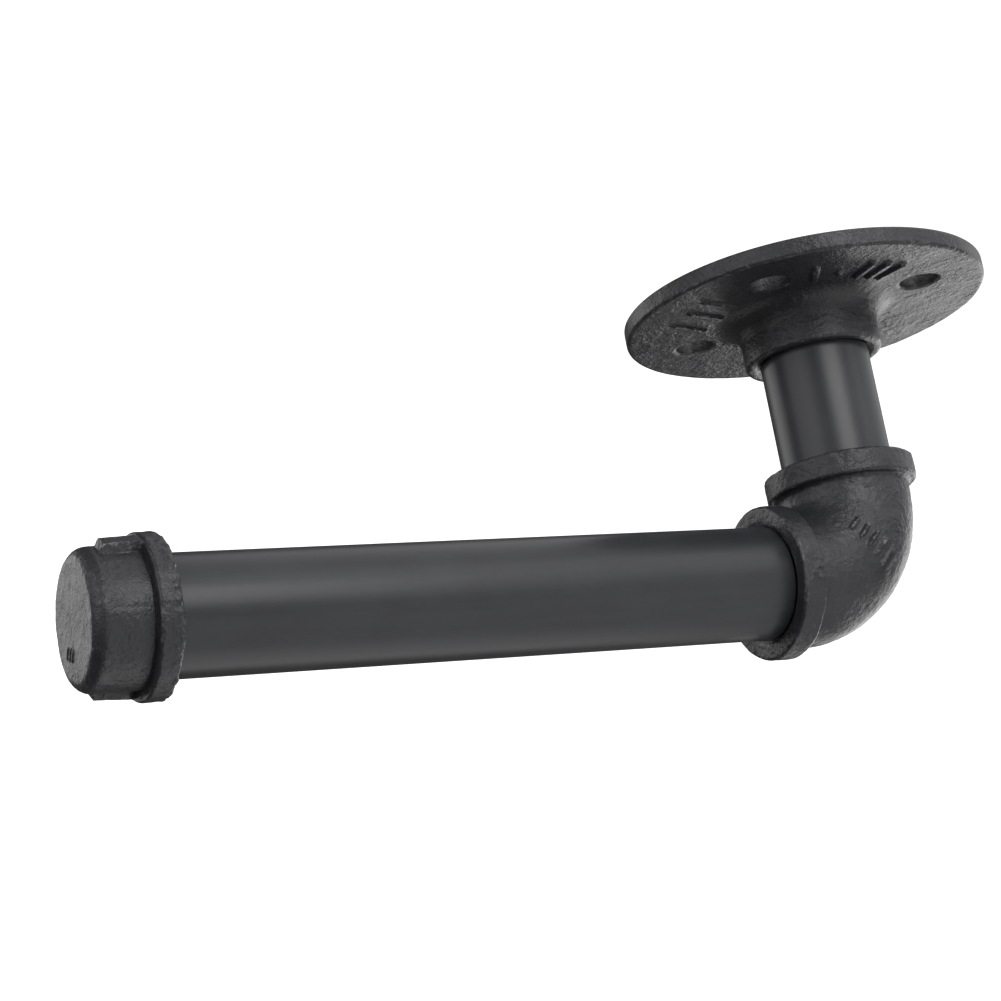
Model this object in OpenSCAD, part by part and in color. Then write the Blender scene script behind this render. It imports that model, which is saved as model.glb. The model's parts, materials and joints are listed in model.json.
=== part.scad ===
// Wall-mounted toilet paper holder made of pipe and short cast fittings.
// Frame: origin at the centre of the flange's back face, +Y into the wall, +Z up.
// The nipple runs out of the wall along -Y and the roll arm runs along -X.

/* [Pipe] */
// Outside diameter of the nipple and of the roll arm
pipe_od = 26.7; // [22:0.1:33]
// Wall thickness of both pipes
pipe_wall = 2.8; // [2.4:0.1:4]
// Length of the nipple that shows between the flange and the elbow
nipple_reach = 28.6; // [15:0.1:80]
// Length of the roll arm that shows between the elbow and the end cap
arm_reach = 149.2; // [100:0.1:220]

/* [Threads] */
// Distance from one thread crest to the next
thread_pitch = 1.814; // [1.2:0.001:2.3]
// Height of a thread from root to crest
thread_height = 1; // [0.6:0.05:1.2]
// Number of engaged thread rings at each joint
thread_rings = 5; // [3:1:6]
// Radial gap between a male thread and its female thread
thread_clearance = 0.1; // [0.05:0.01:0.15]
// Width of the open bevel round the pipe at each fitting's mouth
mouth_gap = 1.3; // [0.6:0.1:1.8]

/* [Flange] */
// Diameter of the wall plate
flange_d = 89.4; // [80:0.1:110]
// Thickness of the wall plate
plate_t = 4.4; // [3:0.1:8]
// Wall of the hub outside the pipe
hub_wall = 3.5; // [2.5:0.1:6]
// Radius of the hollow fillet between hub and plate
hub_fillet = 6; // [3:0.1:8]
// Room between the nipple's end and the wall
back_gap = 4.6; // [3:0.1:12]
// Diameter of each screw hole
screw_hole_d = 9.4; // [4:0.1:11]
// Flat land between the hub's fillet and each screw hole
screw_land = 1.8; // [0:0.1:4]
// Number of screw holes
screw_holes = 4; // [3:1:4]
// Direction of the first screw hole, turned from +X towards +Z
screw_turn = 48.7; // [0:0.1:90]

/* [Elbow] */
// Wall of the elbow's body outside the pipe
elbow_wall = 2.6; // [2:0.1:5]
// Radius of the elbow's throat, on the inside of the bend
throat_r = 3.8; // [2:0.1:8]
// Metal left between the elbow's two sockets
socket_land = 1.8; // [1:0.1:8]
// Height of the reinforcing band above the body at each mouth
band_h = 2.2; // [1:0.1:4]
// Width of the reinforcing band
band_w = 5.8; // [4:0.1:7]

/* [End cap] */
// Wall of the cap's body outside the pipe
cap_wall = 1.9; // [1.6:0.1:5]
// Thickness of the closed end
cap_end_t = 3.4; // [2.5:0.1:5]
// Room between the cap's socket and its closed end
cap_room = 2.3; // [1:0.1:8]
// Bevel round the closed end
cap_bevel = 1.9; // [1:0.1:2.4]
// Height of the band above the body at the cap's mouth
cap_band_h = 2.6; // [1:0.1:4]
// Width of the band at the cap's mouth
cap_band_w = 5; // [4:0.1:7]
// Width of each wrench lug
lug_w = 4.4; // [3:0.1:6]
// Height of each wrench lug above the body
lug_h = 1.8; // [1:0.1:2.4]
// Distance from the closed end to each lug
lug_gap = 4.4; // [2:0.1:6]
// Direction of the first lug, turned from +Y towards +Z
lug_turn = 35; // [0:1:90]

/* [Hidden] */
$fn = 96;

// Rounding of cast rims, and the overrun of a cut
edge = 0.8;
cut = 0.01;

// Thread radii, from the pipe's own outside radius
pipe_r = pipe_od / 2;
bore_r = pipe_r - pipe_wall;
thread_skim = 0.15;
crest_r = pipe_r - thread_skim;
root_r = crest_r - thread_height;
flank = thread_height * tan(30);
flat_w = (thread_pitch - 2 * flank) / 2;
thread_len = thread_rings * thread_pitch;
mouth_r = pipe_r + mouth_gap;

// Plain lead at the pipe's end, and the stretch between the last thread and the fitting's face
lead = 1;
run_in = 1.5;
engage = lead + thread_len + run_in;
// Depth of a blind socket, with room past the pipe's end
end_room = 0.9;
socket_depth = engage + end_room;

// Castings, sized from the pipe that they take
hub_r = pipe_r + hub_wall;
flange_h = engage + back_gap;
screw_circle_r = hub_r + hub_fillet + screw_land + screw_hole_d / 2;
elbow_r = pipe_r + elbow_wall;
bend_r = elbow_r + throat_r;
elbow_reach = pipe_r + socket_depth + socket_land;
cap_r = pipe_r + cap_wall;
cap_len = socket_depth + cap_room + cap_end_t;

// Places along the two axes
elbow_face = flange_h + nipple_reach;
axis_y = -(elbow_face + elbow_reach);
cap_face = elbow_reach + arm_reach;

// Raised foundry marks: plain bars and pips
mark_h = 0.6;
mark_w = 1.6;
mark_circle = (hub_r + hub_fillet + flange_d / 2) / 2;

function teeth(start, count, root, crest) = [
    for (i = [0 : count - 1])
        let (z = start + i * thread_pitch + flat_w / 2)
            each [[root, z], [crest, z + flank], [crest, z + flank + flat_w], [root, z + 2 * flank + flat_w]]
];

// Points a local +Z axis out of the wall, and along the roll arm
module from_wall(distance) translate([0, -distance, 0]) rotate([90, 0, 0]) children();
module along_arm(distance) translate([-distance, axis_y, 0]) rotate([0, -90, 0]) children();

// Disc with a rounded upper rim
module rounded_disc(r, h, rim) {
    rotate_extrude() {
        square([r - rim, h]);
        square([r, h - rim]);
        translate([r - rim, h - rim]) circle(rim);
    }
}

// Band with both rims rounded and a hollow fillet down to the body behind it
module band(r, w, body_r) {
    neck = min(r - body_r, edge * 1.5);
    rotate_extrude() {
        square([r - edge, w]);
        translate([0, edge]) square([r, w - 2 * edge]);
        translate([r - edge, edge]) circle(edge);
        translate([r - edge, w - edge]) circle(edge);
        difference() {
            square([body_r + neck, w + neck]);
            translate([body_r + neck, w + neck]) circle(neck);
        }
    }
}

// Female thread cut, from the fitting's face at z = 0 inwards
module threaded_socket(depth, rings) {
    root = root_r + thread_clearance;
    crest = crest_r + thread_clearance;
    rotate_extrude()
        polygon(concat(
            [[0, -cut], [mouth_r, -cut], [mouth_r, 0], [root, run_in]],
            teeth(run_in, rings, root, crest),
            [[root, depth], [0, depth]]
        ));
}

// Pipe threaded at both ends, its shown length starting at z = 0
module threaded_pipe(reach) {
    difference() {
        union() {
            translate([0, 0, -cut]) cylinder(h = reach + 2 * cut, r = pipe_r);
            threaded_end();
            translate([0, 0, reach]) mirror([0, 0, 1]) threaded_end();
        }
        translate([0, 0, -engage - 1]) cylinder(h = reach + 2 * engage + 2, r = bore_r);
    }
}

// Male thread from the fitting's face at z = 0 down to the pipe's end
module threaded_end() {
    rotate_extrude()
        polygon(concat(
            [[0, 0], [0, -engage], [root_r - lead / 2, -engage], [root_r, -engage + lead / 2]],
            teeth(-engage + lead, thread_rings, root_r, crest_r),
            [[root_r, -run_in], [pipe_r - run_in / 3, -run_in / 2], [pipe_r, -run_in / 4], [pipe_r, 0]]
        ));
}

// Short raised bar that lies across a radius, with round ends
module bar_mark(length) {
    cube([length, mark_w, 2 * mark_h], center = true);
    for (side = [-1, 1])
        translate([side * length / 2, 0, 0]) cylinder(h = 2 * mark_h, r = mark_w / 2, center = true);
}

module flange_marks() {
    for (turn = [70, 78, 86, 94])
        rotate(turn) translate([mark_circle, 0, plate_t]) bar_mark(4);
    for (turn = [196, 206, 216])
        rotate(turn) translate([mark_circle, 0, plate_t]) rotate(90) bar_mark(3);
}

module flange() {
    color([0.17, 0.17, 0.18]) from_wall(0)
        difference() {
            union() {
                rounded_disc(flange_d / 2, plate_t, edge);
                rounded_disc(hub_r, flange_h, edge);
                translate([0, 0, plate_t]) rotate_extrude() difference() {
                    square([hub_r + hub_fillet, hub_fillet]);
                    translate([hub_r + hub_fillet, hub_fillet]) circle(hub_fillet);
                }
                flange_marks();
            }
            translate([0, 0, flange_h]) mirror([0, 0, 1])
                threaded_socket(flange_h + 1, floor((flange_h - 2 * run_in) / thread_pitch));
            translate([0, 0, -cut]) cylinder(h = run_in, r1 = mouth_r, r2 = root_r + thread_clearance);
            for (i = [0 : screw_holes - 1])
                rotate(screw_turn + i * 360 / screw_holes) translate([screw_circle_r, 0, -1])
                    cylinder(h = plate_t + 2, r = screw_hole_d / 2);
        }
}

module nipple() {
    color([0.2, 0.2, 0.21]) from_wall(flange_h) threaded_pipe(nipple_reach);
}

// One open end of the elbow, its face at z = 0 and its body running inwards
module elbow_end() {
    band(elbow_r + band_h, band_w, elbow_r);
    cylinder(h = elbow_reach - bend_r, r = elbow_r);
}

module elbow() {
    color([0.17, 0.17, 0.18])
        difference() {
            union() {
                translate([-elbow_reach, axis_y, 0]) rotate([0, 90, 0]) elbow_end();
                from_wall(elbow_face) elbow_end();
                elbow_bend(elbow_r);
            }
            elbow_bend(bore_r);
            translate([-elbow_reach, axis_y, 0]) rotate([0, 90, 0]) {
                threaded_socket(socket_depth, thread_rings);
                cylinder(h = elbow_reach - bend_r + cut, r = bore_r);
            }
            from_wall(elbow_face) {
                threaded_socket(socket_depth, thread_rings);
                cylinder(h = elbow_reach - bend_r + cut, r = bore_r);
            }
        }
}

// Quarter ring that joins the elbow's two axes
module elbow_bend(r) {
    translate([-bend_r, axis_y + bend_r, 0]) rotate([0, 0, -90])
        rotate_extrude(angle = 90) translate([bend_r, 0]) circle(r);
}

module arm_pipe() {
    color([0.2, 0.2, 0.21]) along_arm(elbow_reach) threaded_pipe(arm_reach);
}

module wrench_lug() {
    lug_r = cap_r + lug_h;
    translate([0, -lug_w / 2, 0]) cube([lug_r, lug_w, cap_len - lug_gap]);
}

module end_cap() {
    color([0.17, 0.17, 0.18]) along_arm(cap_face)
        difference() {
            union() {
                cylinder(h = cap_len - cap_bevel, r = cap_r);
                translate([0, 0, cap_len - cap_bevel])
                    cylinder(h = cap_bevel, r1 = cap_r, r2 = cap_r - cap_bevel);
                band(cap_r + cap_band_h, cap_band_w, cap_r);
                for (side = [0, 180])
                    rotate(90 - lug_turn + side) wrench_lug();
                translate([cap_r / 2, 0, cap_len]) cylinder(h = mark_h, r = mark_w / 2);
            }
            threaded_socket(socket_depth, thread_rings);
            cylinder(h = cap_len - cap_end_t, r = bore_r);
        }
}

flange();
nipple();
elbow();
arm_pipe();
end_cap();
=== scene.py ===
"""Looks, light and camera of a toilet paper holder made of pipe and short cast fittings."""

import itertools
import json
import logging
import math
from abc import ABC, abstractmethod
from collections.abc import Callable, Sequence
from dataclasses import dataclass
from enum import Enum
from typing import ClassVar

import bmesh
import bpy
import numpy as np
from mathutils import Matrix, Vector


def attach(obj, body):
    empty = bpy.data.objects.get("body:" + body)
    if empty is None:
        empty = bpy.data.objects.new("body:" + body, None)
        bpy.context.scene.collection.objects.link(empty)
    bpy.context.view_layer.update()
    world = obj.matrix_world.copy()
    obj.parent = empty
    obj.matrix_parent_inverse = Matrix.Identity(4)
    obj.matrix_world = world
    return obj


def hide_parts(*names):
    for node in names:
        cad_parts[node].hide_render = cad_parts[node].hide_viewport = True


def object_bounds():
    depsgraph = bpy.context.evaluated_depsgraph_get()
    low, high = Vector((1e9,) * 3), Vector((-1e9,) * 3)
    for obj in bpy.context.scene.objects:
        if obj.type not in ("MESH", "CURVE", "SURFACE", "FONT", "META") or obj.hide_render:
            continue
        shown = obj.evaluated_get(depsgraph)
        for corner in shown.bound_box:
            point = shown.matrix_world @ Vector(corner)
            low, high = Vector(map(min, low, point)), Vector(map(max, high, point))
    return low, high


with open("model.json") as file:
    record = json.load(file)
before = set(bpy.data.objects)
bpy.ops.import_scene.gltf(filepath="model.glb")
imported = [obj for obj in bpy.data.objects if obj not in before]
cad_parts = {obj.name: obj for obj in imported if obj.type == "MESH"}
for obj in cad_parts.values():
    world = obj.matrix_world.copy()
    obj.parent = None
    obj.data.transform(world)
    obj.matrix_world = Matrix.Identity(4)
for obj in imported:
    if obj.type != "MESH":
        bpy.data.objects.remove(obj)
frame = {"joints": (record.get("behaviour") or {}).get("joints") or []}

MM = 0.001
CAD_BOX = [list(corner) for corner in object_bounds()]
OUT, LEFT, RIGHT, UP = Vector((0, -1, 0)), Vector((-1, 0, 0)), Vector((1, 0, 0)), Vector((0, 0, 1))
# The attribute that holds how worn each vertex is.
WEAR = "wear"
# Edges that turn further than this are shaded as sharp.
SHARP = math.radians(38)
# How fast the pipes' streaks change along a pipe, as a share of how fast they change across it.
DRAWN = 0.06
log = logging.getLogger("holder")


# ---------------------------------------------------------------- numbers and noise


def smoothstep(low: float, high: float, value: np.ndarray) -> np.ndarray:
    """Rises smoothly from 0 at low to 1 at high.

    Args:
        low: Where the rise starts.
        high: Where it ends. It may be below low, and the step then falls.
        value: The numbers to read.

    Returns:
        The step's height at each number.
    """
    t = np.clip((value - low) / (high - low), 0.0, 1.0)
    return t * t * (3.0 - 2.0 * t)


@dataclass(frozen=True)
class Noise:
    """Seeded smooth noise through space, from about -1 to 1 and the same at every run."""

    TABLE: ClassVar[int] = 4096
    STRIDES: ClassVar[tuple[int, int, int]] = (73856093, 19349663, 83492791)
    OCTAVE_SHIFT: ClassVar[float] = 17.3

    seed: int
    cell: float
    octaves: int = 1

    def __call__(self, places: np.ndarray) -> np.ndarray:
        """Reads the noise.

        Args:
            places: Points in millimetres, with their three coordinates last.

        Returns:
            One number for each point.
        """
        table = np.random.default_rng(self.seed).uniform(-1.0, 1.0, self.TABLE)
        total = np.zeros(places.shape[:-1])
        for octave in range(self.octaves):
            grid = places / self.cell * 2.0**octave + self.OCTAVE_SHIFT * octave
            total += self._one_octave(grid, table) * 0.5**octave
        return total

    def _one_octave(self, grid: np.ndarray, table: np.ndarray) -> np.ndarray:
        """Blends the table's values at the eight corners round each point.

        Args:
            grid: Points in units of the lattice.
            table: The lattice's values.

        Returns:
            One number for each point.
        """
        corner = np.floor(grid).astype(np.int64)
        t = grid - corner
        t = t * t * t * (t * (t * 6.0 - 15.0) + 10.0)
        total = np.zeros(grid.shape[:-1])
        for step in itertools.product((0, 1), repeat=3):
            at = (corner + step) * self.STRIDES
            key = (at[..., 0] ^ at[..., 1] ^ at[..., 2]) & (self.TABLE - 1)
            weight = np.prod(np.where(step, t, 1.0 - t), axis=-1)
            total += table[key] * weight
        return total


# ---------------------------------------------------------------- outlines


@dataclass(frozen=True)
class Corner:
    """One corner of an outline: its place along and out from the axis and its rounding, in millimetres."""

    along: float
    out: float
    rounding: float = 0.0


class Outline:
    """A cross-section beside an axis, with rounded corners. The solid lies to the right of its run."""

    ARC_STEP = math.radians(15)
    EDGE_SHARE = 0.49

    def __init__(self, corners: Sequence[Corner]) -> None:
        """Keeps the corners.

        Args:
            corners: The outline's corners in order, up the outside and back through the bore.
        """
        self.corners = list(corners)

    def points(self, step: float) -> np.ndarray:
        """Rounds the corners and divides what is straight.

        Args:
            step: The longest stretch between two points.

        Returns:
            The points as rows of along and out.
        """
        rounded: list[np.ndarray] = []
        for index, corner in enumerate(self.corners):
            if corner.rounding and 0 < index < len(self.corners) - 1:
                rounded += self._arc(self.corners[index - 1], corner, self.corners[index + 1])
            else:
                rounded.append(np.array([corner.along, corner.out]))
        divided = [rounded[0]]
        for start, end in zip(rounded, rounded[1:]):
            count = max(1, math.ceil(float(np.linalg.norm(end - start)) / step))
            divided += [start + (end - start) * k / count for k in range(1, count + 1)]
        return np.array(divided)

    def _arc(self, before: Corner, corner: Corner, after: Corner) -> list[np.ndarray]:
        """Works out the arc that rounds one corner.

        Args:
            before: The corner before it.
            corner: The corner itself.
            after: The corner after it.

        Returns:
            The arc's points in order.
        """
        at = np.array([corner.along, corner.out])
        back = np.array([before.along, before.out]) - at
        ahead = np.array([after.along, after.out]) - at
        back_length, ahead_length = np.linalg.norm(back), np.linalg.norm(ahead)
        back, ahead = back / back_length, ahead / ahead_length
        half = math.acos(float(np.clip(back @ ahead, -1.0, 1.0))) / 2
        most = self.EDGE_SHARE * min(back_length, ahead_length)
        reach = min(corner.rounding / math.tan(half), most)
        radius = reach * math.tan(half)
        centre = at + (back + ahead) / np.linalg.norm(back + ahead) * radius / math.sin(half)
        first, last = at + back * reach - centre, at + ahead * reach - centre
        turn = math.atan2(first[0] * last[1] - first[1] * last[0], float(first @ last))
        count = max(2, math.ceil(abs(turn) / self.ARC_STEP))
        arc = []
        for k in range(count + 1):
            c, s = math.cos(turn * k / count), math.sin(turn * k / count)
            arc.append(centre + np.array([c * first[0] - s * first[1], s * first[0] + c * first[1]]))
        return arc


# ---------------------------------------------------------------- spines


class Spine(ABC):
    """The line that a cross-section is carried round."""

    @abstractmethod
    def place(self, along: np.ndarray, out: np.ndarray, turn: np.ndarray) -> np.ndarray:
        """Finds points of the surface.

        Args:
            along: How far along the line each point is, in millimetres.
            out: How far out from the line.
            turn: The angle round the line, in radians.

        Returns:
            The points in the part's frame, in millimetres.
        """


@dataclass(frozen=True)
class StraightSpine(Spine):
    """A straight axis from a start point. Turns count from side, towards the third direction."""

    start: Vector
    forward: Vector
    side: Vector

    def place(self, along: np.ndarray, out: np.ndarray, turn: np.ndarray) -> np.ndarray:
        """Finds points round the axis.

        Args:
            along: How far along the axis each point is, in millimetres.
            out: How far out from it.
            turn: The angle round it, in radians.

        Returns:
            The points in the part's frame, in millimetres.
        """
        third = self.forward.cross(self.side)
        return (
            np.array(self.start)
            + along[..., None] * np.array(self.forward)
            + (out * np.cos(turn))[..., None] * np.array(self.side)
            + (out * np.sin(turn))[..., None] * np.array(third)
        )


@dataclass(frozen=True)
class BentSpine(Spine):
    """A quarter bend from -Y round to -X, straight at each end. Turns count from the bend's outside."""

    start: Vector
    reach: float
    straight: float

    @property
    def radius(self) -> float:
        """The radius of the bend."""
        return self.reach - self.straight

    @property
    def length(self) -> float:
        """The length from face to face."""
        return 2 * self.straight + self.radius * math.pi / 2

    def place(self, along: np.ndarray, out: np.ndarray, turn: np.ndarray) -> np.ndarray:
        """Finds points round the bent axis.

        Args:
            along: How far along the bent axis each point is, in millimetres.
            out: How far out from it.
            turn: The angle round it, in radians.

        Returns:
            The points in the part's frame, in millimetres.
        """
        angle = np.clip((along - self.straight) / self.radius, 0.0, math.pi / 2)
        before = np.minimum(along, self.straight)
        past = np.maximum(along - self.length + self.straight, 0.0)
        c, s = np.cos(angle), np.sin(angle)
        x = -self.radius * (1.0 - c) - past
        y = -before - self.radius * s
        sideways = out * np.cos(turn)
        place = np.stack([x + sideways * c, y - sideways * s, out * np.sin(turn)], axis=-1)
        return place + np.array(self.start)


# ---------------------------------------------------------------- surfaces and what is raised on them


@dataclass
class Rows:
    """A grid of surface points before relief: a row for each outline point, a column for each turn."""

    along: np.ndarray
    out: np.ndarray
    turn: np.ndarray
    place: np.ndarray
    skin: np.ndarray


class Relief(ABC):
    """Something raised on or sunk in a surface."""

    @abstractmethod
    def height(self, rows: Rows) -> np.ndarray:
        """Gives how far each point of the surface moves outwards.

        Args:
            rows: The surface without relief.

        Returns:
            The heights in millimetres.
        """


@dataclass(frozen=True)
class CastSkin(Relief):
    """The unevenness of a sand casting: slow swells and a fine grain."""

    swell: float
    swell_size: float
    grain: float
    grain_size: float
    seed: int

    def height(self, rows: Rows) -> np.ndarray:
        """Adds the swells and the grain.

        Args:
            rows: The surface without relief.

        Returns:
            The heights in millimetres.
        """
        swells = Noise(self.seed, self.swell_size, 2)(rows.place) * self.swell
        grains = Noise(self.seed + 1, self.grain_size, 3)(rows.place) * self.grain
        return (swells + grains) * rows.skin


@dataclass(frozen=True)
class RaisedBar(Relief):
    """A plain raised bar with round ends, between two points on the surface."""

    start: Sequence[float]
    end: Sequence[float]
    width: float
    rise: float
    slope: float = 0.35

    def height(self, rows: Rows) -> np.ndarray:
        """Raises what lies near the line between the two points.

        Args:
            rows: The surface without relief.

        Returns:
            The heights in millimetres.
        """
        start, line = np.array(self.start), np.array(self.end) - np.array(self.start)
        length = float(line @ line)
        offset = rows.place - start
        t = np.clip(offset @ line / length, 0.0, 1.0) if length > 0 else np.zeros(offset.shape[:-1])
        distance = np.linalg.norm(offset - t[..., None] * line, axis=-1)
        half = self.width / 2
        return smoothstep(half + self.slope, half - self.slope, distance) * self.rise * rows.skin


@dataclass(frozen=True)
class RoughRim(Relief):
    """The knocked, uneven rim of a casting's band: chips and lumps near one edge."""

    edge: float
    width: float
    size: float
    rise: float
    seed: int

    def height(self, rows: Rows) -> np.ndarray:
        """Adds the chips and lumps.

        Args:
            rows: The surface without relief.

        Returns:
            The heights in millimetres.
        """
        near = smoothstep(self.width, 0.0, np.abs(rows.along - self.edge))
        lumps = Noise(self.seed, self.size, 2)(rows.place)
        return near * lumps * self.rise * rows.skin


@dataclass(frozen=True)
class WrenchLug(Relief):
    """A flat-topped block along the axis that a wrench or a hand grips. It runs down from the band."""

    SLOPE: ClassVar[float] = 0.35

    turn: float
    width: float
    low: float
    high: float
    top_at_low: float
    top_at_high: float

    def height(self, rows: Rows) -> np.ndarray:
        """Raises the block to its flat top.

        Args:
            rows: The surface without relief.

        Returns:
            The heights in millimetres.
        """
        apart = (rows.turn - self.turn + math.pi) % (2 * math.pi) - math.pi
        facing = np.abs(apart) < math.pi / 3
        share = np.clip((rows.along - self.low) / (self.high - self.low), 0.0, 1.0)
        top = self.top_at_low + (self.top_at_high - self.top_at_low) * share
        flat = top / np.cos(np.where(facing, apart, 0.0))
        across = np.abs(flat * np.sin(apart))
        edges = smoothstep(self.width / 2 + self.SLOPE, self.width / 2 - self.SLOPE, across)
        below_top = smoothstep(self.high + self.SLOPE, self.high - self.SLOPE, rows.along)
        ends = below_top * (rows.along > self.low)
        rise = np.maximum(flat - rows.out, 0.0)
        return np.where(facing, rise * edges * ends * rows.skin, 0.0)


SkinShare = Callable[[np.ndarray, np.ndarray], np.ndarray]


@dataclass
class Stretch:
    """A run of outline points that follow one spine."""

    outline: np.ndarray
    spine: Spine


class TurnedMesh:
    """A closed mesh made by carrying stretches of outline round their spines."""

    MERGE = 1e-7

    def __init__(self, name: str, stretches: Sequence[Stretch], columns: int, closed_ring: bool) -> None:
        """Keeps what the mesh is made from.

        Args:
            name: The object's name.
            stretches: The stretches in order, up the outside and back through the bore.
            columns: How many points there are round the spine.
            closed_ring: Whether the last row meets the first. Otherwise both ends close on the axis.
        """
        self.name = name
        self.stretches = list(stretches)
        self.columns = columns
        self.closed_ring = closed_ring

    def build(self, reliefs: Sequence[Relief], skin: SkinShare) -> bpy.types.Object:
        """Makes the object.

        Args:
            reliefs: What is raised on the surface.
            skin: Gives how much of the relief each outline point takes, from along and out.

        Returns:
            The new object, in metres, at the scene's origin.
        """
        turn = np.arange(self.columns) * 2 * math.pi / self.columns
        along = np.concatenate([s.outline[:, 0] for s in self.stretches])[:, None] + 0.0 * turn
        out = np.concatenate([s.outline[:, 1] for s in self.stretches])[:, None] + 0.0 * turn
        turns = 0.0 * along + turn
        rows = Rows(along, out, turns, self._places(along, out, turns), skin(along, out))
        height = sum((r.height(rows) for r in reliefs), np.zeros(along.shape))
        lean = self._outward(along[:, 0], out[:, 0])
        moved = self._places(along + height * lean[:, :1], np.maximum(out + height * lean[:, 1:], 0.0), turns)
        return self._object(moved * MM)

    def _places(self, along: np.ndarray, out: np.ndarray, turn: np.ndarray) -> np.ndarray:
        """Runs each stretch's rows through its own spine.

        Args:
            along: How far along each point is.
            out: How far out it is.
            turn: Its angle.

        Returns:
            The points in millimetres.
        """
        parts, row = [], 0
        for stretch in self.stretches:
            rows = slice(row, row + len(stretch.outline))
            parts.append(stretch.spine.place(along[rows], out[rows], turn[rows]))
            row = rows.stop
        return np.concatenate(parts)

    def _outward(self, along: np.ndarray, out: np.ndarray) -> np.ndarray:
        """Works out which way the surface faces at each outline point.

        Args:
            along: How far along each point is.
            out: How far out it is.

        Returns:
            Unit directions, as rows of along and out.
        """
        line = np.stack([along, out], axis=-1)
        if self.closed_ring:
            run = np.roll(line, -1, axis=0) - np.roll(line, 1, axis=0)
        else:
            run = np.gradient(line, axis=0)
        run /= np.maximum(np.linalg.norm(run, axis=1, keepdims=True), 1e-9)
        return np.stack([-run[:, 1], run[:, 0]], axis=-1)

    def _object(self, places: np.ndarray) -> bpy.types.Object:
        """Joins the grid into faces.

        Args:
            places: The grid of points, in metres.

        Returns:
            The new object.
        """
        rows, columns = places.shape[:2]
        index = np.arange(rows * columns).reshape(rows, columns)
        low, high = (index, np.roll(index, -1, axis=0)) if self.closed_ring else (index[:-1], index[1:])
        quads = np.stack([low, np.roll(low, -1, axis=1), np.roll(high, -1, axis=1), high], axis=-1)
        mesh = bpy.data.meshes.new(self.name)
        mesh.from_pydata(places.reshape(-1, 3).tolist(), [], quads.reshape(-1, 4).tolist())
        shape = bmesh.new()
        shape.from_mesh(mesh)
        bmesh.ops.remove_doubles(shape, verts=shape.verts, dist=self.MERGE)
        shape.to_mesh(mesh)
        shape.free()
        made = bpy.data.objects.new(self.name, mesh)
        bpy.context.scene.collection.objects.link(made)
        mesh.shade_smooth()
        mesh.set_sharp_from_angle(angle=SHARP)
        return made


# ---------------------------------------------------------------- pipe and thread sizes


@dataclass(frozen=True)
class PipeSize:
    """The pipe and its thread, in millimetres. The castings take their bores from it."""

    FLANK: ClassVar[float] = math.radians(30)

    diameter: float = 26.7
    wall: float = 2.8
    pitch: float = 1.814
    thread_height: float = 1.0
    rings: int = 5
    clearance: float = 0.1
    mouth_gap: float = 1.3
    skim: float = 0.15
    lead: float = 1.0
    run_in: float = 1.5
    end_room: float = 0.9

    @property
    def radius(self) -> float:
        """The pipe's outside radius."""
        return self.diameter / 2

    @property
    def bore(self) -> float:
        """The pipe's inside radius."""
        return self.radius - self.wall

    @property
    def crest(self) -> float:
        """The radius of the male thread's crests."""
        return self.radius - self.skim

    @property
    def root(self) -> float:
        """The radius of the male thread's roots."""
        return self.crest - self.thread_height

    @property
    def engage(self) -> float:
        """How far the pipe goes into a fitting."""
        return self.lead + self.rings * self.pitch + self.run_in

    @property
    def socket(self) -> float:
        """The depth of a blind socket."""
        return self.engage + self.end_room

    @property
    def mouth(self) -> float:
        """The radius of a fitting's bevelled mouth."""
        return self.radius + self.mouth_gap

    def teeth(self, start: float, count: int, gap: float = 0.0) -> list[Corner]:
        """Lists the corners of a row of thread rings.

        Args:
            start: Where the first ring starts along the axis.
            count: How many rings there are.
            gap: What is added to the radii, for a female thread.

        Returns:
            The corners, running along the axis.
        """
        flank = self.thread_height * math.tan(self.FLANK)
        flat = self.pitch / 2 - flank
        corners = []
        for ring in range(count):
            at = start + ring * self.pitch + flat / 2
            corners += [
                Corner(at, self.root + gap),
                Corner(at + flank, self.crest + gap),
                Corner(at + flank + flat, self.crest + gap),
                Corner(at + 2 * flank + flat, self.root + gap),
            ]
        return corners


PIPE = PipeSize()


# ---------------------------------------------------------------- shaders


Socket = bpy.types.NodeSocket
Colour = tuple[float, float, float, float]


class Wire:
    """A number that changes over a surface. Python's operators on it add Math nodes to its shader."""

    def __init__(self, shader: "Shader", socket: Socket) -> None:
        """Keeps the socket and the shader that it belongs to."""
        self.shader = shader
        self.socket = socket

    def __add__(self, other: "Wire | float") -> "Wire":
        """Adds."""
        return self.shader.maths("ADD", self, other)

    __radd__ = __add__

    def __sub__(self, other: "Wire | float") -> "Wire":
        """Subtracts."""
        return self.shader.maths("SUBTRACT", self, other)

    def __rsub__(self, other: "Wire | float") -> "Wire":
        """Subtracts from a number."""
        return self.shader.maths("SUBTRACT", other, self)

    def __mul__(self, other: "Wire | float") -> "Wire":
        """Multiplies."""
        return self.shader.maths("MULTIPLY", self, other)

    __rmul__ = __mul__


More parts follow.
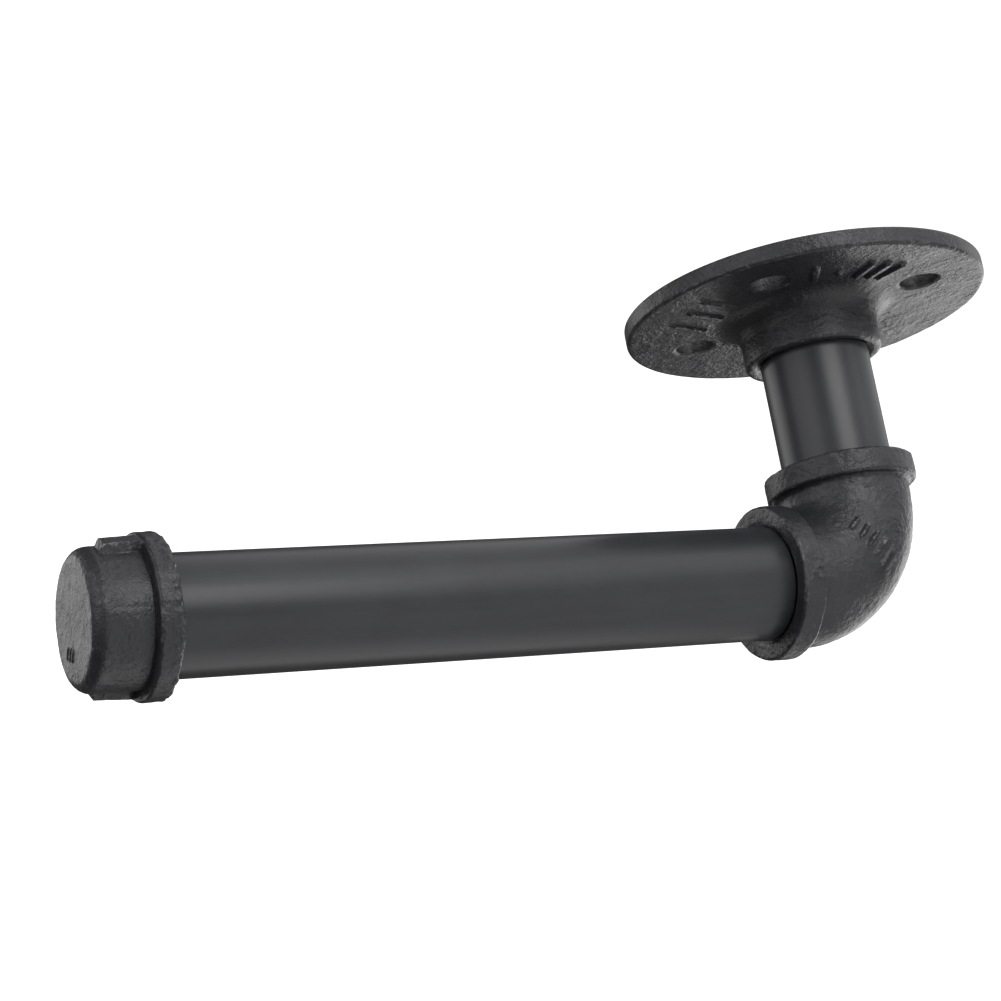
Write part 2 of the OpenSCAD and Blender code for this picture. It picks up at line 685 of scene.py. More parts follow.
class Nodes:
    """The nodes of a material or of the world."""

    def __init__(self, tree: bpy.types.NodeTree) -> None:
        """Keeps the tree that the nodes go into."""
        self.tree = tree

    def node(
        self,
        kind: str,
        settings: dict[str, object] | None = None,
        values: dict[str | int, object] | None = None,
    ) -> bpy.types.Node:
        """Adds a node.

        Args:
            kind: The node's type.
            settings: Properties to set first.
            values: What goes into its sockets: a Wire, an output socket, or a constant.

        Returns:
            The new node.
        """
        made = self.tree.nodes.new(kind)
        for name, value in (settings or {}).items():
            setattr(made, name, value)
        for name, value in (values or {}).items():
            self.feed(made.inputs[name], value)
        return made

    def feed(self, socket: Socket, value: object) -> None:
        """Fills a socket.

        Args:
            socket: The socket to fill.
            value: A Wire or an output socket to link to it, or a constant to set on it.
        """
        if isinstance(value, Wire):
            value = value.socket
        if isinstance(value, Socket):
            self.tree.links.new(value, socket)
        else:
            socket.default_value = value


class Shader(Nodes):
    """A material's nodes, with one Principled shader."""

    EVEN = (1.0, 1.0, 1.0)
    NOISE_ROUGHNESS = 0.6

    def __init__(self, name: str) -> None:
        """Starts an empty material.

        Args:
            name: The material's name.
        """
        self.material = bpy.data.materials.new(name)
        self.material.use_nodes = True
        super().__init__(self.material.node_tree)
        self.tree.nodes.clear()
        self.surface = self.node("ShaderNodeBsdfPrincipled")
        self.node("ShaderNodeOutputMaterial", values={"Surface": self.surface.outputs[0]})

    def maths(self, operation: str, first: Wire | float, second: Wire | float) -> Wire:
        """Adds a Math node.

        Args:
            operation: What the node does.
            first: Its first number.
            second: Its second number.

        Returns:
            The result.
        """
        made = self.node("ShaderNodeMath", {"operation": operation}, {0: first, 1: second})
        return Wire(self, made.outputs[0])

    def noise(self, size: float, detail: float, stretch: Sequence[float] = EVEN) -> Wire:
        """Adds smooth noise through the object's own space.

        Args:
            size: The size of its blotches, in millimetres.
            detail: How many finer layers it has.
            stretch: How much closer the blotches are along each axis.

        Returns:
            The noise, from 0 to 1.
        """
        places = self.node("ShaderNodeTexCoord").outputs["Object"]
        if tuple(stretch) != self.EVEN:
            factors = {0: places, 1: tuple(stretch)}
            places = self.node("ShaderNodeVectorMath", {"operation": "MULTIPLY"}, factors).outputs[0]
        values = {"Vector": places, "Scale": 1.0 / (size * MM), "Detail": detail}
        values["Roughness"] = self.NOISE_ROUGHNESS
        return Wire(self, self.node("ShaderNodeTexNoise", None, values).outputs[0])

    def ramp(self, value: Wire, low: float, high: float, start: float = 0.0, end: float = 1.0) -> Wire:
        """Maps a stretch of a number smoothly onto another and holds it outside.

        Args:
            value: The number to map.
            low: Where the stretch starts.
            high: Where it ends.
            start: The result at low.
            end: The result at high.

        Returns:
            The mapped number.
        """
        values = {"Value": value, "From Min": low, "From Max": high, "To Min": start, "To Max": end}
        made = self.node("ShaderNodeMapRange", {"interpolation_type": "SMOOTHSTEP"}, values)
        return Wire(self, made.outputs[0])

    def attribute(self, name: str) -> Wire:
        """Reads a number that the mesh carries at each vertex."""
        return Wire(self, self.node("ShaderNodeAttribute", {"attribute_name": name}).outputs["Fac"])

    def blend(self, factor: Wire, first: Colour | Socket, second: Colour | Socket) -> Socket:
        """Mixes two colours.

        Args:
            factor: How much of the second there is.
            first: A colour or its socket.
            second: A colour or its socket.

        Returns:
            The mixed colour.
        """
        made = self.node("ShaderNodeMix", {"data_type": "RGBA"}, {0: factor, 6: first, 7: second})
        return made.outputs[2]

    def dress(self, values: dict[str, object]) -> None:
        """Sets what goes into the Principled shader's sockets."""
        for name, value in values.items():
            self.feed(self.surface.inputs[name], value)

    def bump(self, height: Wire, depth: float, under: Socket | None = None) -> Socket:
        """Turns a height into a normal.

        Args:
            height: The height, from 0 to 1.
            depth: What 1 stands for, in millimetres.
            under: The normal of a coarser bump below this one.

        Returns:
            The normal.
        """
        values: dict[str | int, object] = {"Height": height, "Distance": depth * MM, "Strength": 1.0}
        if under is not None:
            values["Normal"] = under
        return self.node("ShaderNodeBump", None, values).outputs[0]


@dataclass(frozen=True)
class CastPaint:
    """Thin black paint over rough cast iron: grainy, mottled, and a little rubbed along its edges."""

    name: str = "cast_paint"
    body: Colour = (0.026, 0.027, 0.030, 1.0)
    faded: Colour = (0.034, 0.035, 0.039, 1.0)
    rubbed: Colour = (0.150, 0.153, 0.160, 1.0)
    roughness: float = 0.34
    cloud: float = 9.0
    cloud_roughness: float = 0.12
    scuff: float = 1.6
    scuff_polish: float = 0.08
    patch: float = 7.0
    quietest: float = 0.35
    grain: float = 1.2
    grain_depth: float = 0.36
    pit: float = 0.5
    pit_depth: float = 0.11
    pit_roughness: float = 0.16

    def make(self) -> bpy.types.Material:
        """Builds the material: clouded colour, scuffs on what stands out, patchy grain and pits.

        Returns:
            The material.
        """
        shader = Shader(self.name)
        cloud = shader.noise(self.cloud, 3.0)
        grain = shader.noise(self.grain, 3.0)
        pits = shader.noise(self.pit, 2.0)
        worn = shader.attribute(WEAR) * shader.ramp(shader.noise(self.scuff, 3.0), 0.48, 0.66)
        colour = shader.blend(shader.ramp(cloud, 0.3, 0.7), self.body, self.faded)
        colour = shader.blend(shader.ramp(worn, 0.1, 0.9), colour, self.rubbed)
        clouded = self.roughness + (cloud - 0.5) * self.cloud_roughness
        rough = clouded + (pits - 0.5) * self.pit_roughness - worn * self.scuff_polish
        patchy = shader.ramp(shader.noise(self.patch, 2.0), 0.38, 0.62, self.quietest)
        coarse = shader.bump(grain * patchy, self.grain_depth)
        normal = shader.bump(pits, self.pit_depth, coarse)
        shader.dress({"Base Color": colour, "Roughness": rough, "Normal": normal})
        return shader.material


@dataclass(frozen=True)
class PipePaint:
    """Smooth black satin paint on drawn pipe, with a very fine tooth and faint drawn streaks along it."""

    name: str
    stretch: tuple[float, float, float]
    body: Colour = (0.031, 0.032, 0.036, 1.0)
    faded: Colour = (0.038, 0.040, 0.044, 1.0)
    roughness: float = 0.33
    cloud: float = 14.0
    cloud_share: float = 0.6
    cloud_roughness: float = 0.08
    streak: float = 1.6
    streak_depth: float = 0.006
    streak_roughness: float = 0.05
    tooth: float = 0.4
    tooth_depth: float = 0.010
    tooth_roughness: float = 0.08

    def make(self) -> bpy.types.Material:
        """Builds the material: clouds and streaks in the colour, streaks and tooth in the surface.

        Returns:
            The material.
        """
        shader = Shader(self.name)
        cloud = shader.noise(self.cloud, 3.0)
        streaks = shader.noise(self.streak, 3.0, self.stretch)
        tooth = shader.noise(self.tooth, 2.0)
        tone = cloud * self.cloud_share + streaks * (1.0 - self.cloud_share)
        colour = shader.blend(shader.ramp(tone, 0.35, 0.65), self.body, self.faded)
        rough = self.roughness + (cloud - 0.5) * self.cloud_roughness
        rough = rough + (streaks - 0.5) * self.streak_roughness + (tooth - 0.5) * self.tooth_roughness
        normal = shader.bump(tooth, self.tooth_depth, shader.bump(streaks, self.streak_depth))
        shader.dress({"Base Color": colour, "Roughness": rough, "Normal": normal})
        return shader.material


def mark_wear(piece: bpy.types.Object, reach: float) -> None:
    """Stores how sharply the surface bends outwards at each vertex, for the paint's rubbed edges.

    Args:
        piece: The object to mark.
        reach: The angle between two faces, in radians, that counts as fully worn.
    """
    mesh = piece.data
    shape = bmesh.new()
    shape.from_mesh(mesh)
    shape.normal_update()
    values = []
    for vertex in shape.verts:
        bend = max(edge.calc_face_angle_signed(0.0) for edge in vertex.link_edges)
        values.append(min(max(bend / reach, 0.0), 1.0))
    shape.free()
    mesh.attributes.new(WEAR, "FLOAT", "POINT").data.foreach_set("value", values)


# ---------------------------------------------------------------- the sub-assemblies


class Slot(Enum):
    """The record's material slots."""

    CASTING = "casting"
    PIPE = "pipe"


@dataclass(frozen=True)
class Seat:
    """Where a piece belongs: its name, its CAD body and node, and its material slot."""

    name: str
    body: str
    node: str
    slot: Slot

    def settle(self, piece: bpy.types.Object, material: bpy.types.Material) -> bpy.types.Object:
        """Dresses a piece, ties it to its body and hides its CAD node.

        Args:
            piece: The finished object.
            material: Its material.

        Returns:
            The same object.
        """
        piece.data.materials.clear()
        piece.data.materials.append(material)
        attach(piece, self.body)
        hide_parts(self.node)
        return piece


def station(joint: str) -> Vector:
    """Gives a joint's place in the frame, in millimetres."""
    found = next(j for j in frame["joints"] if j["name"] == joint)
    return Vector(found["pos_m"]) / MM


@dataclass
class Flange:
    """The round wall plate, its threaded hub and its screw holes, in millimetres and degrees."""

    seat: Seat = Seat("flange_casting", "flange", "flange", Slot.CASTING)
    diameter: float = 89.4
    plate: float = 4.4
    hub_wall: float = 3.5
    fillet: float = 6.0
    rim: float = 0.9
    hole: float = 9.4
    hole_circle: float = 29.35
    holes: int = 4
    hole_turn: float = 48.7
    hole_sides: int = 64
    lip: float = 0.25
    lip_depth: float = 0.4
    upper_bars: tuple[float, ...] = (117.0, 93.0, 85.0, 77.0)
    upper_bar_from: float = 25.5
    upper_bar_to: float = 33.5
    upper_bar_width: float = 1.6
    pip_out: float = 28.5
    pip_turn: float = 105.0
    pip_width: float = 1.8
    upper_rise: float = 0.9
    left_bars: tuple[float, ...] = (7.0, 0.0, -8.0)
    left_bar_from: float = -23.6
    left_bar_to: float = -33.6
    left_bar_lean: float = 1.4
    left_bar_width: float = 1.5
    left_rise: float = 0.8
    worn_bend: float = 0.5
    worn_edge: float = 0.6
    columns: int = 600
    step: float = 0.42
    bore_step: float = 4.0

    @property
    def height(self) -> float:
        """The distance from the wall to the hub's face."""
        return -station("nipple_turn").y

    @property
    def hub(self) -> float:
        """The hub's outside radius."""
        return PIPE.radius + self.hub_wall

    def build(self, paint: bpy.types.Material) -> bpy.types.Object:
        """Builds and dresses the flange.

        Args:
            paint: The castings' paint.

        Returns:
            The flange.
        """
        outer = Outline(self._outside()).points(self.step)
        bore = Outline(self._bore()).points(self.bore_step)
        spine = StraightSpine(Vector((0, 0, 0)), OUT, RIGHT)
        mesh = TurnedMesh(self.seat.name, [Stretch(outer, spine), Stretch(bore, spine)], self.columns, True)
        skin = CastSkin(swell=0.10, swell_size=11.0, grain=0.022, grain_size=1.7, seed=11)
        piece = mesh.build([skin, *self._hole_lips(), *self._marks()], self._skin)
        mark_wear(piece, self.worn_bend)
        self._drill(piece)
        return self.seat.settle(piece, paint)

    def _outside(self) -> list[Corner]:
        """Lists the corners of the rim, the plate's front and the hub, from the wall outwards.

        Returns:
            The corners.
        """
        edge = self.diameter / 2
        return [
            Corner(0.0, edge - 0.4),
            Corner(0.4, edge, 0.3),
            Corner(self.plate, edge, self.rim),
            Corner(self.plate, self.hub, self.fillet),
            Corner(self.height, self.hub, 0.9),
            Corner(self.height, PIPE.mouth, 0.3),
        ]

    def _bore(self) -> list[Corner]:
        """Lists the corners of the bore from the hub's face to the wall and out over the back.

        Returns:
            The corners.
        """
        rings = int((self.height - 2 * PIPE.run_in) / PIPE.pitch)
        root = PIPE.root + PIPE.clearance
        teeth = PIPE.teeth(PIPE.run_in, rings, PIPE.clearance)
        threads = [Corner(self.height - corner.along, corner.out) for corner in teeth]
        return [
            Corner(self.height - PIPE.run_in, root),
            *threads,
            Corner(PIPE.run_in, root),
            Corner(0.0, PIPE.mouth),
            Corner(0.0, PIPE.mouth + self.worn_edge),
            Corner(0.0, self.diameter / 2 - 2 * self.worn_edge),
        ]

    def _skin(self, along: np.ndarray, out: np.ndarray) -> np.ndarray:
        """Keeps the relief off the bore and the back, which meets the wall."""
        return smoothstep(PIPE.mouth, PIPE.mouth + 0.8, out) * smoothstep(0.2, 1.2, along)

    def _place(self, out: float, turn: float) -> Vector:
        """Finds a point on the plate's front face.

        Args:
            out: How far from the centre.
            turn: The angle from +X towards +Z, in degrees.

        Returns:
            The point.
        """
        angle = math.radians(turn)
        return Vector((out * math.cos(angle), -self.plate, out * math.sin(angle)))

    def _hole_places(self) -> list[Vector]:
        """Lists the screw holes' centres on the plate's front face."""
        turns = [self.hole_turn + 360.0 / self.holes * k for k in range(self.holes)]
        return [self._place(self.hole_circle, turn) for turn in turns]

    def _hole_lips(self) -> list[Relief]:
        """Makes the soft sunk edge round each screw hole."""
        width = self.hole + 2 * self.lip
        return [RaisedBar(place, place, width, -self.lip_depth) for place in self._hole_places()]

    def _marks(self) -> list[Relief]:
        """Makes the raised foundry marks: plain bars to the hub's left and above it, and one pip.

        Returns:
            The marks.
        """
        bars: list[Relief] = []
        for turn in self.upper_bars:
            near, far = self._place(self.upper_bar_from, turn), self._place(self.upper_bar_to, turn)
            bars.append(RaisedBar(near, far, self.upper_bar_width, self.upper_rise))
        pip = self._place(self.pip_out, self.pip_turn)
        bars.append(RaisedBar(pip, pip, self.pip_width, self.upper_rise))
        for height in self.left_bars:
            near = Vector((self.left_bar_from, -self.plate, height - self.left_bar_lean))
            far = Vector((self.left_bar_to, -self.plate, height + self.left_bar_lean))
            bars.append(RaisedBar(near, far, self.left_bar_width, self.left_rise))
        return bars

    def _drill(self, piece: bpy.types.Object) -> None:
        """Cuts the screw holes.

        Args:
            piece: The plate to cut.
        """
        cutter = bmesh.new()
        turn = Matrix.Rotation(math.pi / 2, 4, "X")
        for centre in self._hole_places():
            place = Matrix.Translation(Vector((centre.x, -self.plate / 2, centre.z)) * MM)
            bmesh.ops.create_cone(
                cutter,
                cap_ends=True,
                segments=self.hole_sides,
                radius1=self.hole / 2 * MM,
                radius2=self.hole / 2 * MM,
                depth=self.plate * 3 * MM,
                matrix=place @ turn,
            )
        mesh = bpy.data.meshes.new("hole_cutters")
        cutter.to_mesh(mesh)
        cutter.free()
        tool = bpy.data.objects.new("hole_cutters", mesh)
        bpy.context.scene.collection.objects.link(tool)
        cut = piece.modifiers.new("screw_holes", "BOOLEAN")
        cut.operation, cut.object, cut.solver = "DIFFERENCE", tool, "EXACT"
        graph = bpy.context.evaluated_depsgraph_get()
        drilled = bpy.data.meshes.new_from_object(piece.evaluated_get(graph))
        piece.modifiers.clear()
        piece.data = drilled
        drilled.name = piece.name
        bpy.data.objects.remove(tool)
        bpy.data.meshes.remove(mesh)
        drilled.shade_smooth()
        drilled.set_sharp_from_angle(angle=SHARP)


@dataclass
class ThreadedPipe:
    """A length of pipe with a thread at each end, in millimetres."""

    seat: Seat
    start: Vector
    end: Vector
    side: Vector
    columns: int = 192
    step: float = 3.0

    def build(self, paint: bpy.types.Material) -> bpy.types.Object:
        """Builds and dresses the pipe.

        Args:
            paint: The pipe's paint.

        Returns:
            The pipe.
        """
        reach = (self.end - self.start).length
        forward = (self.end - self.start).normalized()
        low, high = -PIPE.engage, reach + PIPE.engage
        near = [
            Corner(low, PIPE.root - PIPE.lead / 2),
            Corner(low + PIPE.lead / 2, PIPE.root),
            *PIPE.teeth(low + PIPE.lead, PIPE.rings),
            Corner(-PIPE.run_in, PIPE.root),
            Corner(-PIPE.run_in / 2, PIPE.radius - PIPE.run_in / 3),
            Corner(-PIPE.run_in / 4, PIPE.radius),
        ]
        far = [Corner(reach - corner.along, corner.out) for corner in reversed(near)]
        bore = [Corner(high, PIPE.bore), Corner(low, PIPE.bore), Corner(low, PIPE.root - PIPE.lead / 2)]
        outline = Outline([*near, *far, *bore]).points(self.step)[:-1]
        spine = StraightSpine(self.start, forward, self.side)
        mesh = TurnedMesh(self.seat.name, [Stretch(outline, spine)], self.columns, True)
        piece = mesh.build([], lambda along, out: np.zeros(along.shape))
        return self.seat.settle(piece, paint)


@dataclass
class Elbow:
    """The quarter elbow with a banded socket at each end, in millimetres and degrees."""

    seat: Seat = Seat("elbow_casting", "elbow", "elbow", Slot.CASTING)
    wall: float = 2.6
    throat: float = 3.8
    socket_land: float = 0.4
    band: float = 2.2
    band_width: float = 5.8
    neck: float = 1.2
    rim: float = 0.7
    bars: tuple[float, ...] = (108.0, 98.0, 88.0, 78.0, 68.0, 58.0)
    bar_back: float = 1.9
    bar_ahead: float = 2.1
    bar_width: float = 0.9
    bar_rise: float = 0.6
    bar_slope: float = 0.3
    pips: tuple[tuple[float, float], ...] = ((4.6, 86.0), (3.0, 82.0), (4.2, 78.0))
    pip_width: float = 1.1
    pip_rise: float = 0.5
    worn_bend: float = 0.6
    columns: int = 336
    step: float = 0.34
    bore_step: float = 1.6

    @property
    def radius(self) -> float:
        """The body's outside radius."""
        return PIPE.radius + self.wall

    @property
    def reach(self) -> float:
        """The distance from either face to the point where the axes cross."""
        return station("elbow_turn").y - station("arm_turn").y

    def build(self, paint: bpy.types.Material) -> bpy.types.Object:
        """Builds and dresses the elbow.

        Args:
            paint: The castings' paint.

        Returns:
            The elbow.
        """
        outer = self._axis()
        inner = BentSpine(outer.start, self.reach, PIPE.socket + self.socket_land)
        stretches = [
            Stretch(self._outside(outer.length), outer),
            Stretch(self._inside(inner.length), inner),
        ]
        mesh = TurnedMesh(self.seat.name, stretches, self.columns, True)
        piece = mesh.build(self._reliefs(), self._skin)
        mark_wear(piece, self.worn_bend)
        return self.seat.settle(piece, paint)

    def _axis(self) -> BentSpine:
        """Makes the bent axis that the outside follows."""
        return BentSpine(station("elbow_turn"), self.reach, self.reach - self.radius - self.throat)

    def _outside(self, length: float) -> np.ndarray:
        """Lays out the outside from one face to the other.

        Args:
            length: The length of the outside's axis.

        Returns:
            The outline's points.
        """
        top = self.radius + self.band
        return Outline(
            [
                Corner(0.0, PIPE.mouth),
                Corner(0.0, top, self.rim),
                Corner(self.band_width, top, self.rim),
                Corner(self.band_width, self.radius, self.neck),
                Corner(length - self.band_width, self.radius, self.neck),
                Corner(length - self.band_width, top, self.rim),
                Corner(length, top, self.rim),
                Corner(length, PIPE.mouth),
            ]
        ).points(self.step)

    def _inside(self, length: float) -> np.ndarray:
        """Lays out the bore from the second face back to the first.

        Args:
            length: The length of the bore's axis.

        Returns:
            The outline's points.
        """
        root = PIPE.root + PIPE.clearance
        near = [
            Corner(PIPE.run_in, root),
            *PIPE.teeth(PIPE.run_in, PIPE.rings, PIPE.clearance),
            Corner(PIPE.socket, root),
            Corner(PIPE.socket, PIPE.bore),
        ]
        far = [Corner(length - corner.along, corner.out) for corner in near]
        return Outline([*far, *reversed(near)]).points(self.bore_step)

    def _skin(self, along: np.ndarray, out: np.ndarray) -> np.ndarray:
        """Keeps the relief off the bore."""
        return smoothstep(PIPE.mouth, PIPE.mouth + 0.8, out)

    def _reliefs(self) -> list[Relief]:
        """Lists what is raised on the elbow.

        Returns:
            The reliefs.
        """
        rim = RoughRim(edge=0.0, width=6.5, size=2.6, rise=0.10, seed=41)
        skin = CastSkin(swell=0.17, swell_size=8.0, grain=0.055, grain_size=1.3, seed=31)
        return [*self._marks(), rim, skin]

    def _marks(self) -> list[Relief]:
        """Makes the raised foundry marks: a row of bars across the bend and three pips on the arm's band.

        Returns:
            The marks.
        """
        spine = self._axis()
        middle = spine.length / 2
        marks: list[Relief] = []
        for turn in self.bars:
            near = self._spot(spine, middle - self.bar_back, turn)
            far = self._spot(spine, middle + self.bar_ahead, turn)
            marks.append(RaisedBar(near, far, self.bar_width, self.bar_rise, self.bar_slope))
        for from_face, turn in self.pips:
            pip = self._spot(spine, spine.length - from_face, turn, self.band)
            marks.append(RaisedBar(pip, pip, self.pip_width, self.pip_rise))
        return marks

    def _spot(self, spine: BentSpine, along: float, turn: float, above: float = 0.0) -> np.ndarray:
        """Finds a point on the outside.

        Args:
            spine: The bend's axis.
            along: How far along it the point is.
            turn: The angle round it from the bend's outside, in degrees.
            above: How far above the body's surface.

        Returns:
            The point.
        """
        return spine.place(np.array(along), np.array(self.radius + above), np.array(math.radians(turn)))


@dataclass
class EndCap:
    """The banded end cap with its two wrench lugs, in millimetres and degrees."""

    seat: Seat = Seat("end_cap_casting", "cap", "end_cap", Slot.CASTING)
    wall: float = 1.9
    closed: float = 3.4
    room: float = 2.3
    bevel: float = 1.9
    band: float = 2.6
    band_width: float = 5.0
    groove: float = 0.25
    lug_width: float = 4.4
    lug_height: float = 1.8
    lug_gap: float = 4.4
    lug_turn: float = 55.0
    lug_below_band: float = 0.15
    lug_under_band: float = 1.2
    bar_gap: float = 1.5
    bar_out: float = 6.0
    bar_down: float = 4.4
    bar_drift: float = 0.45
    bar_lean: tuple[float, float, float] = (0.0, 0.9, 0.5)
    bar_width: float = 0.7
    bar_rise: float = 0.3
    bar_slope: float = 0.2
    worn_bend: float = 0.6
    columns: int = 336
    step: float = 0.34
    bore_step: float = 2.0

    @property
    def radius(self) -> float:
        """The body's outside radius."""
        return PIPE.radius + self.wall

    @property
    def length(self) -> float:
        """The cap's length."""
        return PIPE.socket + self.room + self.closed

    def build(self, paint: bpy.types.Material) -> bpy.types.Object:
        """Builds and dresses the cap.

        Args:
            paint: The castings' paint.

        Returns:
            The cap.
        """
        spine = StraightSpine(station("cap_turn"), LEFT, UP)
        stretches = [Stretch(self._inside(), spine), Stretch(self._outside(), spine)]
        mesh = TurnedMesh(self.seat.name, stretches, self.columns, False)
        piece = mesh.build(self._reliefs(), self._skin)
        mark_wear(piece, self.worn_bend)
        return self.seat.settle(piece, paint)

    def _inside(self) -> np.ndarray:
        """Lays out the socket from the closed end's centre to the mouth.

        Returns:
            The outline's points.
        """
        depth = self.length - self.closed
        root = PIPE.root + PIPE.clearance
        ends = [
            Corner(depth, 0.0),
            Corner(depth, PIPE.bore),
            Corner(PIPE.socket, PIPE.bore),
            Corner(PIPE.socket, root),
        ]
        threads = PIPE.teeth(PIPE.run_in, PIPE.rings, PIPE.clearance)[::-1]
        return Outline([*ends, *threads, Corner(PIPE.run_in, root)]).points(self.bore_step)

    def _outside(self) -> np.ndarray:
        """Lays out the outside from the mouth to the closed end's centre.

        Returns:
            The outline's points.
        """
        top = self.radius + self.band
        return Outline(
            [
                Corner(0.0, PIPE.mouth),
                Corner(0.0, top, 0.8),
                Corner(self.band_width, top, 0.7),
                Corner(self.band_width, self.radius - self.groove, 0.15),
                Corner(self.band_width + self.groove, self.radius - self.groove, 0.15),
                Corner(self.band_width + 2 * self.groove, self.radius, 0.3),
                Corner(self.length - self.bevel, self.radius, 3.0),
                Corner(self.length, self.radius - self.bevel, 2.8),
                Corner(self.length, 0.0),
            ]
        ).points(self.step)

    def _skin(self, along: np.ndarray, out: np.ndarray) -> np.ndarray:
        """Keeps the relief off the socket."""
        beyond = along > self.length - self.closed / 2
        return np.where(beyond, 1.0, smoothstep(PIPE.mouth, PIPE.mouth + 0.6, out))

    def _reliefs(self) -> list[Relief]:
        """Lists what is raised on the cap.

        Returns:
            The reliefs.
        """
        tops = (self.radius + self.band - self.lug_below_band, self.radius + self.lug_height)
        reach = (self.band_width - self.lug_under_band, self.length - self.lug_gap)
        lugs: list[Relief] = [
            WrenchLug(math.radians(turn), self.lug_width, *reach, *tops)
            for turn in (self.lug_turn, self.lug_turn + 180.0)
        ]
        rim = RoughRim(edge=0.4, width=2.4, size=1.5, rise=0.27, seed=61)
        skin = CastSkin(swell=0.12, swell_size=8.0, grain=0.035, grain_size=1.3, seed=51)
        return [*lugs, *self._marks(), rim, skin]

    def _marks(self) -> list[Relief]:
        """Makes the small group of raised bars on the closed end.

        Returns:
            The marks.
        """
        face = station("cap_turn") + LEFT * self.length
        lean = Vector(self.bar_lean)
        bars: list[Relief] = []
        for side in (-self.bar_gap, 0.0, self.bar_gap):
            centre = face + OUT * (self.bar_out + self.bar_drift * side) + UP * (side - self.bar_down)
            near, far = centre - lean, centre + lean
            bars.append(RaisedBar(near, far, self.bar_width, self.bar_rise, self.bar_slope))
        return bars


# ---------------------------------------------------------------- studio


def direction(azimuth: float, elevation: float) -> Vector:
    """Points from the holder towards a stand: azimuth 0 is -Y and 90 is +X, in degrees."""
    a, e = math.radians(azimuth), math.radians(elevation)
    return Vector((math.sin(a) * math.cos(e), -math.cos(a) * math.cos(e), math.sin(e)))


@dataclass(frozen=True)
class SoftBox:
    """A square soft light aimed at the holder, in degrees, watts and metres. Azimuth 0 is -Y and 90 is +X."""

    name: str
    azimuth: float
    elevation: float
    power: float
    size: float = 0.5
    distance: float = 1.2

    def light(self, target: Vector) -> bpy.types.Object:
        """Hangs the light.

        Args:
            target: What it is aimed at, in metres.

        Returns:
            The light.
        """
        lamp = bpy.data.lights.new(self.name, "AREA")
        lamp.energy = self.power
        lamp.shape = "SQUARE"
        lamp.size = self.size
        made = bpy.data.objects.new(self.name, lamp)
        back = direction(self.azimuth, self.elevation)
        made.location = target + back * self.distance
        made.rotation_euler = back.to_track_quat("Z", "Y").to_euler()
        bpy.context.scene.collection.objects.link(made)
        return made


@dataclass(frozen=True)
class Camera:
    """The camera on its stand, in metres and degrees. The lens and the sensor are in millimetres."""

    aim: tuple[float, float, float] = (-0.09257, -0.04959, 0.0)
    distance: float = 0.56314
    azimuth: float = -59.12
    elevation: float = 58.75
    roll: float = 53.04
    lens: float = 89.52
    sensor: float = 36.0

    def place(self) -> bpy.types.Object:
        """Makes the camera and gives it to the scene.

        Returns:
            The camera.
        """
        lens = bpy.data.cameras.new("camera")
        lens.lens = self.lens
        lens.sensor_width = self.sensor
        made = bpy.data.objects.new("camera", lens)
        back = direction(self.azimuth, self.elevation)
        level = back.to_track_quat("Z", "Y").to_matrix().to_4x4()
        roll = Matrix.Rotation(math.radians(self.roll), 4, "Z")
        made.matrix_world = Matrix.Translation(Vector(self.aim) + back * self.distance) @ level @ roll
        bpy.context.scene.collection.objects.link(made)
        bpy.context.scene.camera = made
        return made


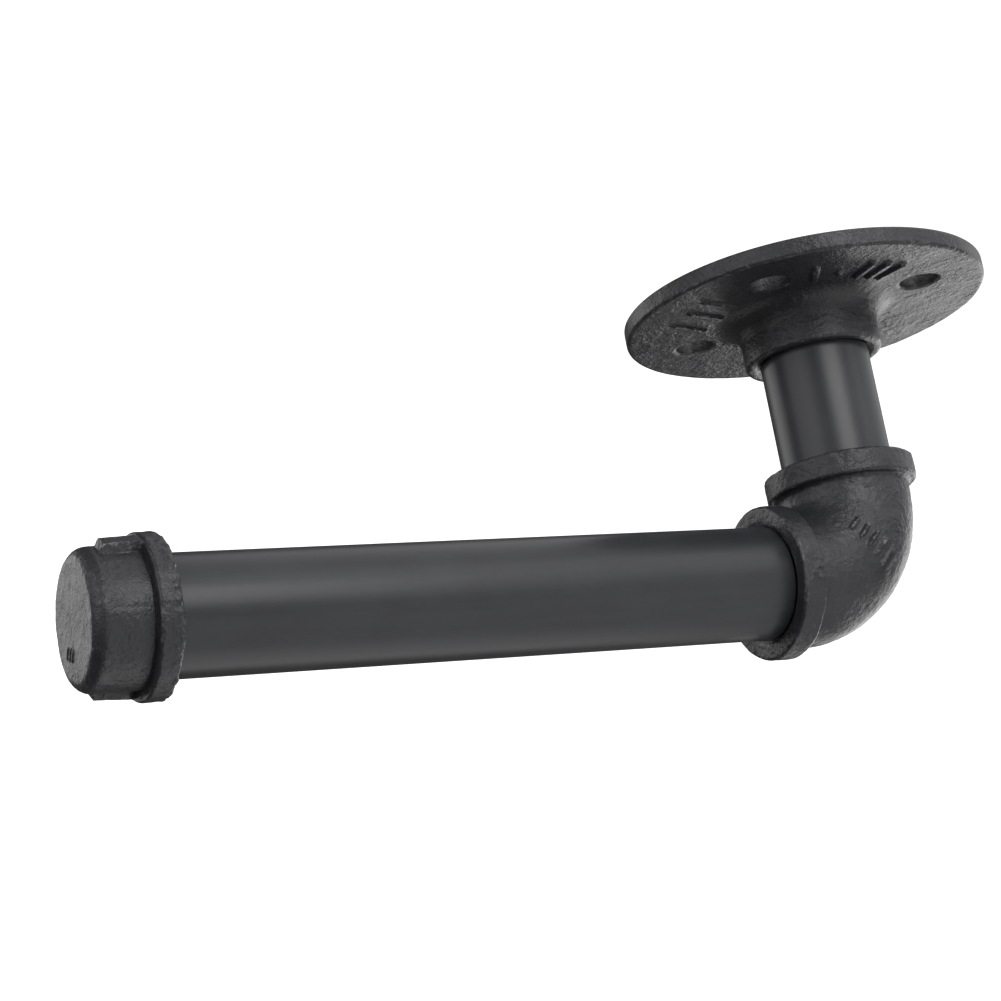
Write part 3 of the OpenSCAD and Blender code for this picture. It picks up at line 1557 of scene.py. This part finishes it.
@dataclass(frozen=True)
class Studio:
    """The plain pale floor, the white room and the soft boxes."""

    drop: float = 1.5
    spread: float = 60.0
    white: Colour = (1.0, 1.0, 1.0, 1.0)
    floor_paint: Colour = (0.9, 0.9, 0.9, 1.0)
    floor_roughness: float = 0.9
    ambient: float = 0.07
    boxes: tuple[SoftBox, ...] = (
        SoftBox("top_box", 174.0, 70.0, 4.8, 0.7),
        SoftBox("top_right_box", 134.0, 58.0, 2.8, 1.2),
        SoftBox("front_box", 34.5, 31.6, 5.8, 1.58),
        SoftBox("back_box", 132.0, 7.0, 9.5, 2.0),
        SoftBox("low_right_box", 79.0, -31.0, 4.3, 0.8),
        SoftBox("low_front_box", 13.0, -21.0, 2.8, 0.9),
        SoftBox("end_box", -112.0, 13.0, 4.8, 1.2),
        SoftBox("fill_box", -118.0, 56.0, 4.6, 2.5),
        SoftBox("low_end_box", -126.0, -56.0, 2.3, 0.7),
    )

    def build(self, target: Vector) -> None:
        """Lays the floor and hangs the lights.

        Args:
            target: What the lights are aimed at, in metres.
        """
        self._room()
        self._floor()
        for box in self.boxes:
            box.light(target)

    def _room(self) -> None:
        """Makes the room white to the camera and dim to everything else."""
        world = bpy.data.worlds.new("studio")
        world.use_nodes = True
        nodes = Nodes(world.node_tree)
        seen = nodes.node("ShaderNodeLightPath").outputs["Is Camera Ray"]
        strength = nodes.node("ShaderNodeMapRange", None, {"Value": seen, "To Min": self.ambient})
        background = world.node_tree.nodes["Background"]
        nodes.feed(background.inputs["Color"], self.white)
        nodes.feed(background.inputs["Strength"], strength.outputs[0])
        bpy.context.scene.world = world
        bpy.context.scene.view_settings.view_transform = "Standard"

    def _floor(self) -> None:
        """Lays the floor. It is white to the camera and lights nothing."""
        mesh = bpy.data.meshes.new("floor")
        half = self.spread / 2
        corners = [(-half, -half, 0.0), (half, -half, 0.0), (half, half, 0.0), (-half, half, 0.0)]
        mesh.from_pydata(corners, [], [(0, 1, 2, 3)])
        floor = bpy.data.objects.new("floor", mesh)
        floor.location.z = -self.drop
        shader = Shader("floor_paint")
        shader.dress({"Base Color": self.floor_paint, "Roughness": self.floor_roughness})
        shader.dress({"Emission Color": self.white, "Emission Strength": 1.0})
        mesh.materials.append(shader.material)
        bpy.context.scene.collection.objects.link(floor)
        floor.visible_diffuse = False
        floor.visible_glossy = False


# ---------------------------------------------------------------- the whole holder


def main() -> None:
    """Builds the holder, the studio and the camera, and reports each piece."""
    logging.basicConfig(level=logging.INFO, format="%(name)s: %(message)s")
    casting = CastPaint().make()
    nipple_paint = PipePaint("nipple_paint", (1.0, DRAWN, 1.0)).make()
    arm_paint = PipePaint("arm_paint", (DRAWN, 1.0, 1.0)).make()
    nipple_seat = Seat("nipple_pipe", "nipple", "nipple", Slot.PIPE)
    arm_seat = Seat("arm_pipe_tube", "arm", "arm_pipe", Slot.PIPE)
    nipple = ThreadedPipe(nipple_seat, station("nipple_turn"), station("elbow_turn"), RIGHT)
    arm = ThreadedPipe(arm_seat, station("arm_turn"), station("cap_turn"), UP)
    pieces = [
        Flange().build(casting),
        nipple.build(nipple_paint),
        Elbow().build(casting),
        arm.build(arm_paint),
        EndCap().build(casting),
    ]
    for piece in pieces:
        log.info("%s: %d faces, %s", piece.name, len(piece.data.polygons), piece.data.materials[0].name)
    Studio().build((Vector(CAD_BOX[0]) + Vector(CAD_BOX[1])) / 2)
    Camera().place()


if __name__ == "__main__":
    main()
